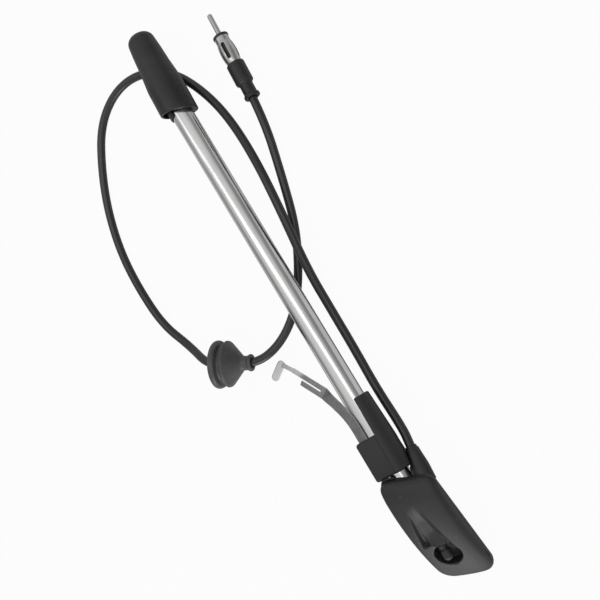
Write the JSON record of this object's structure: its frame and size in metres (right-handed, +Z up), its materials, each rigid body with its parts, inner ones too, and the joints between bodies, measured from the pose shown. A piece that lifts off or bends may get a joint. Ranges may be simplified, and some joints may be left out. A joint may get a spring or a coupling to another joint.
{
  "type": "car antenna",
  "caption": "Hide-away telescopic car antenna: pull-out mast in a metal sheath, domed pillar head, clamp collar, earth strip, rubber end boot, and coaxial lead with grommet and plug.",
  "frame": {"origin": "middle of the antenna as it lies, without its cord, at floor level", "axes": "+X along the mast towards the tip that pulls out; +Z up from the floor the antenna lies on"},
  "size_m": [0.3538, 0.1386, 0.0299],
  "materials": {
    "polished_tube": "polished",
    "bright_mast": "bright",
    "brass": "turned",
    "pale_nylon": "smooth",
    "black_plastic": "satin, fine moulded grain",
    "black_rubber": "matte moulded",
    "cable_jacket": "satin extruded",
    "zinc_steel": "zinc plated",
    "plug_metal": "nickel plated",
    "plug_insulation": "moulded"
  },
  "bodies": {
    "antenna": {"base_plate": "black_plastic", "base_screws": "zinc_steel", "cable_gland": "black_rubber", "cable_grommet": "black_rubber", "coax_cable": "cable_jacket", "collar": "black_plastic", "contact_bush": "brass", "earth_strip": "zinc_steel", "end_boot": "black_rubber", "guide_bush": "pale_nylon", "head_cover": "black_plastic", "panel_seal": "black_rubber", "plug_barrel": "plug_metal", "plug_boot": "black_rubber", "plug_insulator": "plug_insulation", "plug_pin": "plug_metal", "sheath_tube": "polished_tube", "tail_plug": "pale_nylon"},
    "mast_lower_section": {"mast_lower": "bright_mast", "lower_glide": "pale_nylon"},
    "mast_middle_section": {"mast_middle": "bright_mast", "middle_foot": "brass"},
    "mast_tip_section": {"mast_upper": "bright_mast", "upper_foot": "brass", "mast_knob": "black_plastic"}
  },
  "joints": [
    {"name": "lower_slide", "type": "slide", "parent": "antenna", "child": "mast_lower_section", "axis": [1, 0, 0], "range_m": [0, 0.222]},
    {"name": "middle_slide", "type": "slide", "parent": "mast_lower_section", "child": "mast_middle_section", "axis": [1, 0, 0], "range_m": [0, 0.248]},
    {"name": "tip_slide", "type": "slide", "parent": "mast_middle_section", "child": "mast_tip_section", "axis": [1, 0, 0], "range_m": [0, 0.24]}
  ]
}
